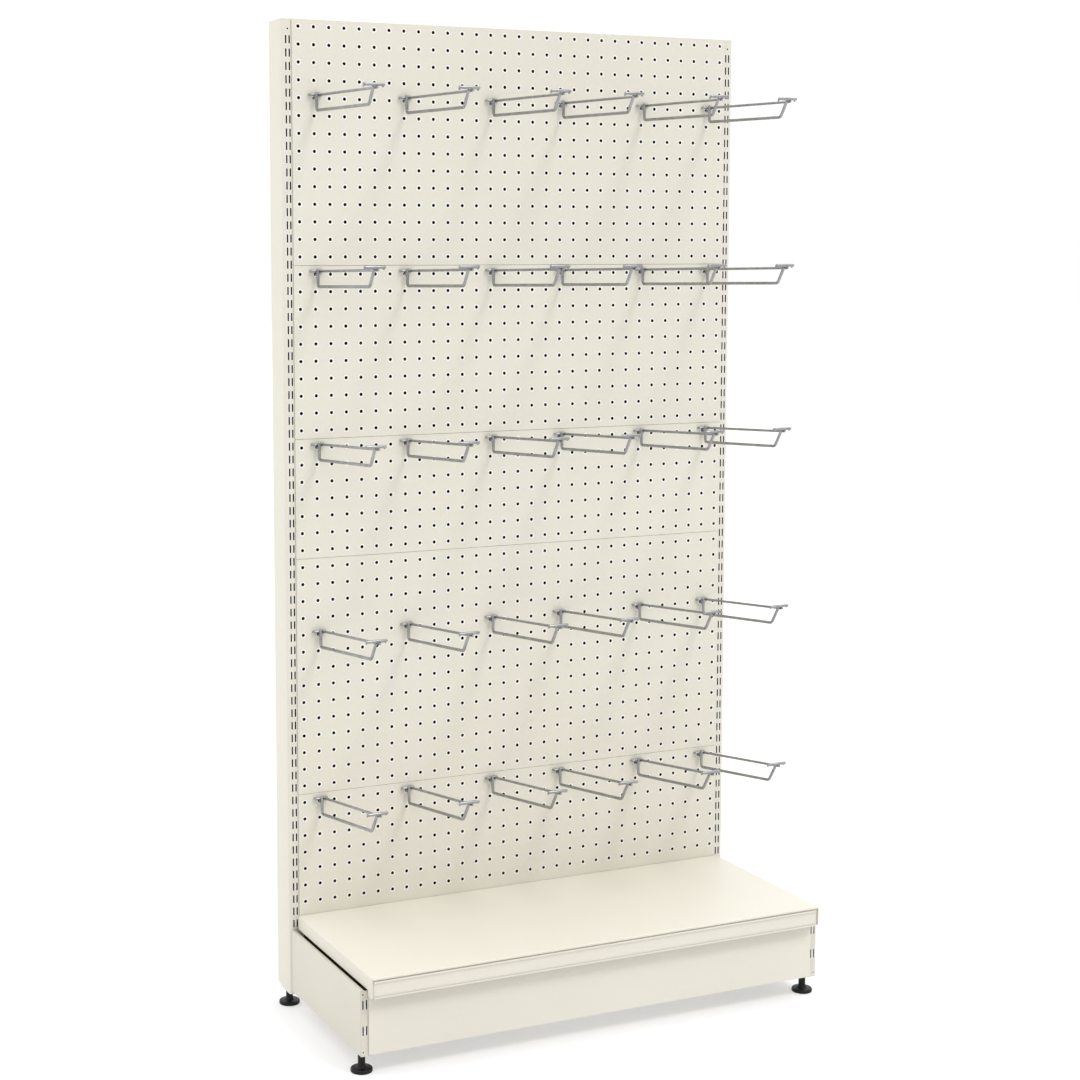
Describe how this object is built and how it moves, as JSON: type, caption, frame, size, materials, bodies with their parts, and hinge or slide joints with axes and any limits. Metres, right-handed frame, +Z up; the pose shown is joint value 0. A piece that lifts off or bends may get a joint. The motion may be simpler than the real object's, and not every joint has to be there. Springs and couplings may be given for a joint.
{
  "type": "pegboard shelving bay",
  "caption": "Free-standing shop bay: slotted uprights, perforated steel back panels with flip-top wire hooks, and a base shelf on levelling feet.",
  "frame": {"origin": "on the floor, under the centre of the whole bay's box", "axes": "+Z up; -Y is the goods side, the way the hooks and base shelf reach; +X to the right of someone who faces the panels"},
  "size_m": [1.036, 0.463, 1.971],
  "materials": {
    "cream_paint": "satin powder coat",
    "zinc_wire": "bright zinc plating",
    "plated_hardware": "zinc plating",
    "black_plastic": "moulded, matte",
    "hardboard": "pressed, unpainted"
  },
  "bodies": {
    "bay_frame": {"upright_left": "cream_paint", "upright_right": "cream_paint", "upright_caps": "cream_paint", "back_panel_1": "cream_paint", "back_panel_2": "cream_paint", "back_panel_3": "cream_paint", "back_panel_4": "cream_paint", "back_panel_5": "cream_paint", "cross_rail_top": "cream_paint", "cross_rail_bottom": "cream_paint", "base_leg_left": "cream_paint", "base_leg_right": "cream_paint", "base_shelf": "cream_paint", "shelf_ribs": "cream_paint", "price_rail": "cream_paint", "kick_plate": "cream_paint", "rail_bolts": "plated_hardware", "foot_nuts": "plated_hardware", "backing_board": "hardboard", "hook_row_1": "zinc_wire", "hook_row_2": "zinc_wire", "hook_row_3": "zinc_wire", "hook_row_4": "zinc_wire", "hook_row_5": "zinc_wire"},
    "front_left_foot": {"foot_front_left": "black_plastic"},
    "front_right_foot": {"foot_front_right": "black_plastic"},
    "rear_left_foot": {"foot_rear_left": "black_plastic"},
    "rear_right_foot": {"foot_rear_right": "black_plastic"},
    "arm_1_1": {"ticket_arm_1_1": "zinc_wire"},
    "arm_1_2": {"ticket_arm_1_2": "zinc_wire"},
    "arm_1_3": {"ticket_arm_1_3": "zinc_wire"},
    "arm_1_4": {"ticket_arm_1_4": "zinc_wire"},
    "arm_1_5": {"ticket_arm_1_5": "zinc_wire"},
    "arm_1_6": {"ticket_arm_1_6": "zinc_wire"},
    "arm_2_1": {"ticket_arm_2_1": "zinc_wire"},
    "arm_2_2": {"ticket_arm_2_2": "zinc_wire"},
    "arm_2_3": {"ticket_arm_2_3": "zinc_wire"},
    "arm_2_4": {"ticket_arm_2_4": "zinc_wire"},
    "arm_2_5": {"ticket_arm_2_5": "zinc_wire"},
    "arm_2_6": {"ticket_arm_2_6": "zinc_wire"},
    "arm_3_1": {"ticket_arm_3_1": "zinc_wire"},
    "arm_3_2": {"ticket_arm_3_2": "zinc_wire"},
    "arm_3_3": {"ticket_arm_3_3": "zinc_wire"},
    "arm_3_4": {"ticket_arm_3_4": "zinc_wire"},
    "arm_3_5": {"ticket_arm_3_5": "zinc_wire"},
    "arm_3_6": {"ticket_arm_3_6": "zinc_wire"},
    "arm_4_1": {"ticket_arm_4_1": "zinc_wire"},
    "arm_4_2": {"ticket_arm_4_2": "zinc_wire"},
    "arm_4_3": {"ticket_arm_4_3": "zinc_wire"},
    "arm_4_4": {"ticket_arm_4_4": "zinc_wire"},
    "arm_4_5": {"ticket_arm_4_5": "zinc_wire"},
    "arm_4_6": {"ticket_arm_4_6": "zinc_wire"},
    "arm_5_1": {"ticket_arm_5_1": "zinc_wire"},
    "arm_5_2": {"ticket_arm_5_2": "zinc_wire"},
    "arm_5_3": {"ticket_arm_5_3": "zinc_wire"},
    "arm_5_4": {"ticket_arm_5_4": "zinc_wire"},
    "arm_5_5": {"ticket_arm_5_5": "zinc_wire"},
    "arm_5_6": {"ticket_arm_5_6": "zinc_wire"}
  },
  "joints": [
    {"name": "front_left_foot_screw", "type": "slide", "parent": "bay_frame", "child": "front_left_foot", "axis": [0, 0, -1], "range_m": [-0.0025, 0.02]},
    {"name": "front_right_foot_screw", "type": "slide", "parent": "bay_frame", "child": "front_right_foot", "axis": [0, 0, -1], "range_m": [-0.0025, 0.02]},
    {"name": "rear_left_foot_screw", "type": "slide", "parent": "bay_frame", "child": "rear_left_foot", "axis": [0, 0, -1], "range_m": [-0.0025, 0.02]},
    {"name": "rear_right_foot_screw", "type": "slide", "parent": "bay_frame", "child": "rear_right_foot", "axis": [0, 0, -1], "range_m": [-0.0025, 0.02]},
    {"name": "arm_1_1_flip", "type": "hinge", "parent": "bay_frame", "child": "arm_1_1", "pos_m": [-0.4366, 0.1511, 1.82705], "axis": [-1, 0, 0], "range_deg": [0, 89.5]},
    {"name": "arm_1_2_flip", "type": "hinge", "parent": "bay_frame", "child": "arm_1_2", "pos_m": [-0.2461, 0.1511, 1.82705], "axis": [-1, 0, 0], "range_deg": [0, 89.5]},
    {"name": "arm_1_3_flip", "type": "hinge", "parent": "bay_frame", "child": "arm_1_3", "pos_m": [-0.0556, 0.1511, 1.82705], "axis": [-1, 0, 0], "range_deg": [0, 89.5]},
    {"name": "arm_1_4_flip", "type": "hinge", "parent": "bay_frame", "child": "arm_1_4", "pos_m": [0.10315, 0.1511, 1.82705], "axis": [-1, 0, 0], "range_deg": [0, 89.5]},
    {"name": "arm_1_5_flip", "type": "hinge", "parent": "bay_frame", "child": "arm_1_5", "pos_m": [0.29365, 0.1511, 1.82705], "axis": [-1, 0, 0], "range_deg": [0, 89.5]},
    {"name": "arm_1_6_flip", "type": "hinge", "parent": "bay_frame", "child": "arm_1_6", "pos_m": [0.4524, 0.1511, 1.82705], "axis": [-1, 0, 0], "range_deg": [0, 89.5]},
    {"name": "arm_2_1_flip", "type": "hinge", "parent": "bay_frame", "child": "arm_2_1", "pos_m": [-0.4366, 0.1511, 1.48705], "axis": [-1, 0, 0], "range_deg": [0, 87.25]},
    {"name": "arm_2_2_flip", "type": "hinge", "parent": "bay_frame", "child": "arm_2_2", "pos_m": [-0.2461, 0.1511, 1.48705], "axis": [-1, 0, 0], "range_deg": [0, 87.25]},
    {"name": "arm_2_3_flip", "type": "hinge", "parent": "bay_frame", "child": "arm_2_3", "pos_m": [-0.0556, 0.1511, 1.48705], "axis": [-1, 0, 0], "range_deg": [0, 87.25]},
    {"name": "arm_2_4_flip", "type": "hinge", "parent": "bay_frame", "child": "arm_2_4", "pos_m": [0.10315, 0.1511, 1.48705], "axis": [-1, 0, 0], "range_deg": [0, 87.25]},
    {"name": "arm_2_5_flip", "type": "hinge", "parent": "bay_frame", "child": "arm_2_5", "pos_m": [0.29365, 0.1511, 1.48705], "axis": [-1, 0, 0], "range_deg": [0, 87.25]},
    {"name": "arm_2_6_flip", "type": "hinge", "parent": "bay_frame", "child": "arm_2_6", "pos_m": [0.4524, 0.1511, 1.48705], "axis": [-1, 0, 0], "range_deg": [0, 87.25]},
    {"name": "arm_3_1_flip", "type": "hinge", "parent": "bay_frame", "child": "arm_3_1", "pos_m": [-0.4366, 0.1511, 1.14705], "axis": [-1, 0, 0], "range_deg": [0, 85]},
    {"name": "arm_3_2_flip", "type": "hinge", "parent": "bay_frame", "child": "arm_3_2", "pos_m": [-0.2461, 0.1511, 1.14705], "axis": [-1, 0, 0], "range_deg": [0, 85]},
    {"name": "arm_3_3_flip", "type": "hinge", "parent": "bay_frame", "child": "arm_3_3", "pos_m": [-0.0556, 0.1511, 1.14705], "axis": [-1, 0, 0], "range_deg": [0, 85]},
    {"name": "arm_3_4_flip", "type": "hinge", "parent": "bay_frame", "child": "arm_3_4", "pos_m": [0.10315, 0.1511, 1.14705], "axis": [-1, 0, 0], "range_deg": [0, 85]},
    {"name": "arm_3_5_flip", "type": "hinge", "parent": "bay_frame", "child": "arm_3_5", "pos_m": [0.29365, 0.1511, 1.14705], "axis": [-1, 0, 0], "range_deg": [0, 85]},
    {"name": "arm_3_6_flip", "type": "hinge", "parent": "bay_frame", "child": "arm_3_6", "pos_m": [0.4524, 0.1511, 1.14705], "axis": [-1, 0, 0], "range_deg": [0, 85]},
    {"name": "arm_4_1_flip", "type": "hinge", "parent": "bay_frame", "child": "arm_4_1", "pos_m": [-0.4366, 0.1511, 0.77305], "axis": [-1, 0, 0], "range_deg": [0, 82.75]},
    {"name": "arm_4_2_flip", "type": "hinge", "parent": "bay_frame", "child": "arm_4_2", "pos_m": [-0.2461, 0.1511, 0.77305], "axis": [-1, 0, 0], "range_deg": [0, 82.75]},
    {"name": "arm_4_3_flip", "type": "hinge", "parent": "bay_frame", "child": "arm_4_3", "pos_m": [-0.0556, 0.1511, 0.77305], "axis": [-1, 0, 0], "range_deg": [0, 82.75]},
    {"name": "arm_4_4_flip", "type": "hinge", "parent": "bay_frame", "child": "arm_4_4", "pos_m": [0.10315, 0.1511, 0.77305], "axis": [-1, 0, 0], "range_deg": [0, 82.75]},
    {"name": "arm_4_5_flip", "type": "hinge", "parent": "bay_frame", "child": "arm_4_5", "pos_m": [0.29365, 0.1511, 0.77305], "axis": [-1, 0, 0], "range_deg": [0, 82.75]},
    {"name": "arm_4_6_flip", "type": "hinge", "parent": "bay_frame", "child": "arm_4_6", "pos_m": [0.4524, 0.1511, 0.77305], "axis": [-1, 0, 0], "range_deg": [0, 82.75]},
    {"name": "arm_5_1_flip", "type": "hinge", "parent": "bay_frame", "child": "arm_5_1", "pos_m": [-0.4366, 0.1511, 0.43305], "axis": [-1, 0, 0], "range_deg": [0, 80.5]},
    {"name": "arm_5_2_flip", "type": "hinge", "parent": "bay_frame", "child": "arm_5_2", "pos_m": [-0.2461, 0.1511, 0.43305], "axis": [-1, 0, 0], "range_deg": [0, 80.5]},
    {"name": "arm_5_3_flip", "type": "hinge", "parent": "bay_frame", "child": "arm_5_3", "pos_m": [-0.0556, 0.1511, 0.43305], "axis": [-1, 0, 0], "range_deg": [0, 80.5]},
    {"name": "arm_5_4_flip", "type": "hinge", "parent": "bay_frame", "child": "arm_5_4", "pos_m": [0.10315, 0.1511, 0.43305], "axis": [-1, 0, 0], "range_deg": [0, 80.5]},
    {"name": "arm_5_5_flip", "type": "hinge", "parent": "bay_frame", "child": "arm_5_5", "pos_m": [0.29365, 0.1511, 0.43305], "axis": [-1, 0, 0], "range_deg": [0, 80.5]},
    {"name": "arm_5_6_flip", "type": "hinge", "parent": "bay_frame", "child": "arm_5_6", "pos_m": [0.4524, 0.1511, 0.43305], "axis": [-1, 0, 0], "range_deg": [0, 80.5]}
  ]
}
